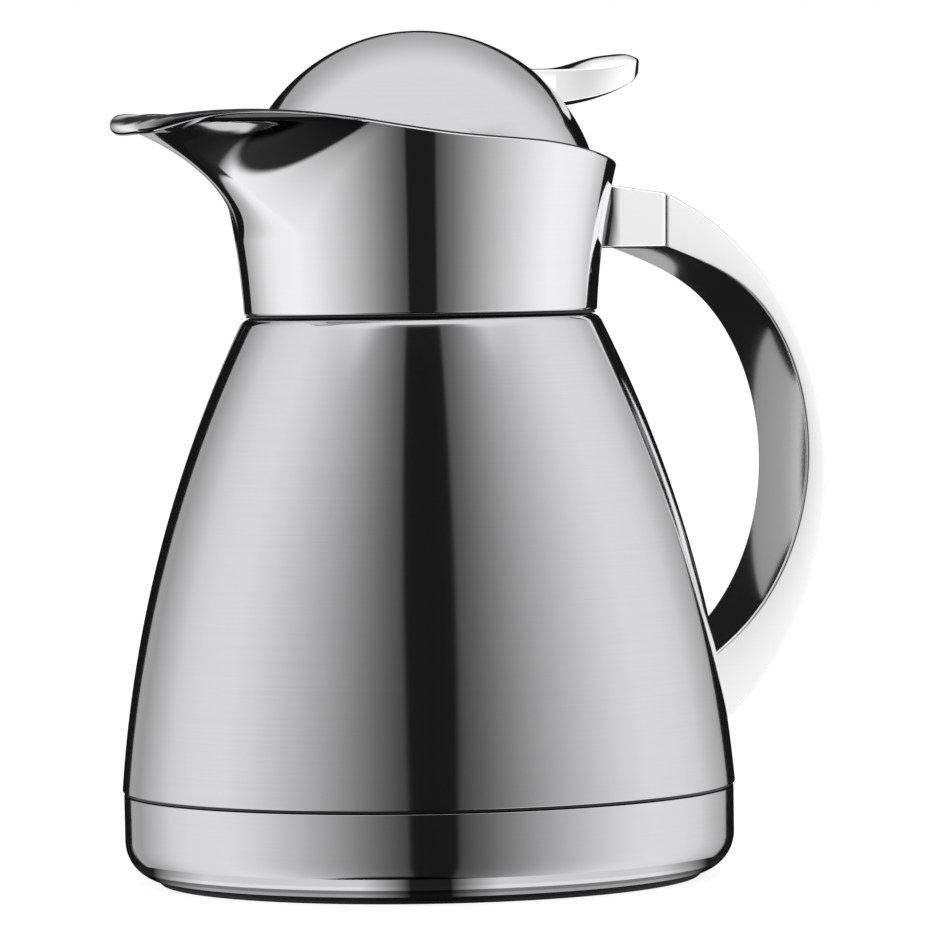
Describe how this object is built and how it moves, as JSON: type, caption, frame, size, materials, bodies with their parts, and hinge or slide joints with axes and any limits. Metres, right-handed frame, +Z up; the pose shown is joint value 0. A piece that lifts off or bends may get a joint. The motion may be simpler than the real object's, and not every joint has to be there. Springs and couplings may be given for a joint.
{
  "type": "thermal jug",
  "caption": "Steel thermal jug with a conical body, pouring spout, crescent handle and a domed lid that swings open from a thumb lever.",
  "frame": {"origin": "on the table plane, under the axis of the round body", "axes": "+Z up along the body's axis, +X towards the handle, the spout points along -X"},
  "size_m": [0.2028, 0.157, 0.2168],
  "materials": {
    "satin_steel": "fine satin brushed round the axis",
    "base_steel": "fine satin brushed round the axis",
    "collar_steel": "satin, near polished at the spout",
    "dome_steel": "satin",
    "handle_steel": "polished",
    "lever_steel": "polished",
    "screw_steel": "plain",
    "spring_steel": "plain wire",
    "black_plastic": "moulded, matt",
    "soft_black": "moulded",
    "silicone": "translucent white",
    "silvered_glass": "silvered inside the vacuum gap",
    "foam": "foam"
  },
  "bodies": {
    "jug": {"outer_shell": "satin_steel", "base_cap": "base_steel", "foot_ring": "soft_black", "base_insert": "black_plastic", "thread_ring": "black_plastic", "flask_cushion": "soft_black", "glass_flask": "silvered_glass", "mouth_seal": "silicone", "pouring_funnel": "black_plastic", "neck_nut": "black_plastic", "neck_gasket": "soft_black", "collar": "collar_steel", "hinge_yoke": "screw_steel", "hinge_pin": "screw_steel", "hinge_spring": "spring_steel", "handle": "handle_steel", "handle_bracket": "handle_steel", "bracket_gasket": "soft_black", "handle_top_screws": "screw_steel", "handle_foot_screw": "screw_steel", "foot_washer": "screw_steel", "handle_foot_pad": "soft_black"},
    "lid": {"lid_dome": "dome_steel", "lid_liner": "black_plastic", "lid_insulation": "foam", "thumb_lever": "lever_steel", "lever_plate": "lever_steel", "lever_screws": "screw_steel", "plate_screw": "screw_steel", "plate_spring": "spring_steel"},
    "seal": {"seal_plate": "black_plastic", "seal_ring": "silicone"}
  },
  "joints": [
    {"name": "lid_hinge", "type": "hinge", "parent": "jug", "child": "lid", "pos_m": [0.0395, 0, 0.179], "axis": [0, 1, 0], "range_deg": [0, 48], "stiffness_Nm_per_rad": 0.02, "springref_deg": -34.38, "deforming": ["hinge_spring"]},
    {"name": "seal_float", "type": "slide", "parent": "lid", "child": "seal", "axis": [0, 0, 1], "range_m": [0, 0.0015], "stiffness_N_per_m": 400, "springref_m": -0.002, "deforming": ["plate_spring"]}
  ]
}
